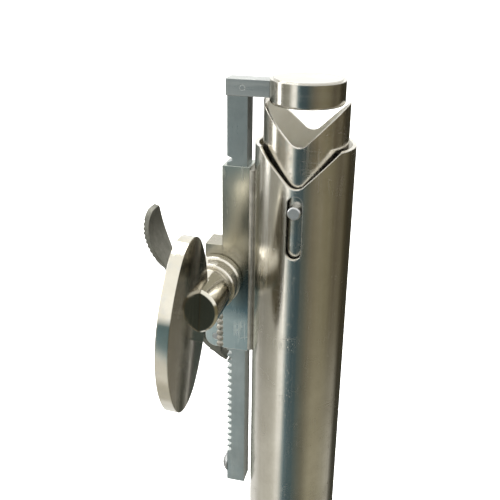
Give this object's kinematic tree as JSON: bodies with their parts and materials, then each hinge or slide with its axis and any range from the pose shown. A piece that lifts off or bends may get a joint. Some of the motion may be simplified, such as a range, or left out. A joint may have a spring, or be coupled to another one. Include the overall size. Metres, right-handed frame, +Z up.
{
  "type": "manual can opener",
  "caption": "Rack-and-pinion opener: an oval key drives a rack whose arm pulls a plug down on a sprung V-notched sleeve in a tube",
  "frame": {"origin": "centre of the outer tube's bottom face", "axes": "+Z up the tube towards the plug; -Y is the front, where the key and the slot are; -X is the side with the rack and the thumb lever"},
  "size_m": [0.0828, 0.0893, 0.2302],
  "materials": {
    "tube_steel": "polished with fine scratches",
    "sleeve_steel": "polished, lightly pitted",
    "plug_steel": "polished",
    "guide_steel": "satin",
    "rack_steel": "matte, machined",
    "arm_steel": "satin",
    "key_steel": "polished, scratched rim",
    "turned_steel": "turned and polished",
    "lever_steel": "rough, worn edges",
    "weld_steel": "rough weld bead",
    "small_steel": "plain",
    "spring_steel": "plain wire",
    "cap_plastic": "matte"
  },
  "bodies": {
    "tube": {"outer_tube": "tube_steel", "guide_channel": "guide_steel", "guide_welds": "weld_steel", "housing_front": "guide_steel", "housing_rear": "guide_steel", "housing_spacer": "guide_steel", "cheek_weld": "weld_steel", "bearing_flange": "turned_steel", "front_bush": "turned_steel", "rear_bush": "turned_steel", "pawl_pin": "small_steel", "pawl_spring": "spring_steel", "tube_guide_ring": "turned_steel", "spring_seat": "turned_steel", "sleeve_spring": "spring_steel", "tube_end_cap": "cap_plastic"},
    "sleeve": {"inner_sleeve": "sleeve_steel", "sleeve_collar": "turned_steel", "guide_pin": "small_steel"},
    "rack": {"rack_bar": "rack_steel", "rack_stop_screw": "small_steel", "arm": "arm_steel", "arm_dowel": "small_steel", "plug_cap": "plug_steel", "plug_screw": "small_steel"},
    "key": {"pinion": "rack_steel", "pinion_shaft": "small_steel", "shaft_clip": "spring_steel", "hub_spacer": "turned_steel", "key_hub": "key_steel", "hub_set_screw": "small_steel", "key_plate": "key_steel"},
    "pawl": {"pawl_lever": "lever_steel"}
  },
  "joints": [
    {"name": "key_turn", "type": "hinge", "parent": "tube", "child": "key", "pos_m": [-0.0332, 0, 0.1489], "axis": [0, -1, 0], "range_deg": [0, 600]},
    {"name": "rack_slide", "type": "slide", "parent": "tube", "child": "rack", "axis": [0, 0, 1], "range_m": [0, 0.04712]},
    {"name": "sleeve_slide", "type": "slide", "parent": "tube", "child": "sleeve", "axis": [0, 0, 1], "range_m": [-0.016, 0], "stiffness_N_per_m": 400, "springref_m": 0.0037, "deforming": ["sleeve_spring"]},
    {"name": "pawl_pivot", "type": "hinge", "parent": "tube", "child": "pawl", "pos_m": [-0.034, 0, 0.1214], "axis": [0, 1, 0], "range_deg": [-6.3, 10], "stiffness_Nm_per_rad": 0.05}
  ],
  "couplings": [
    {"joint": "rack_slide", "follows": "key_turn", "m_per_rad": 0.0045}
  ]
}
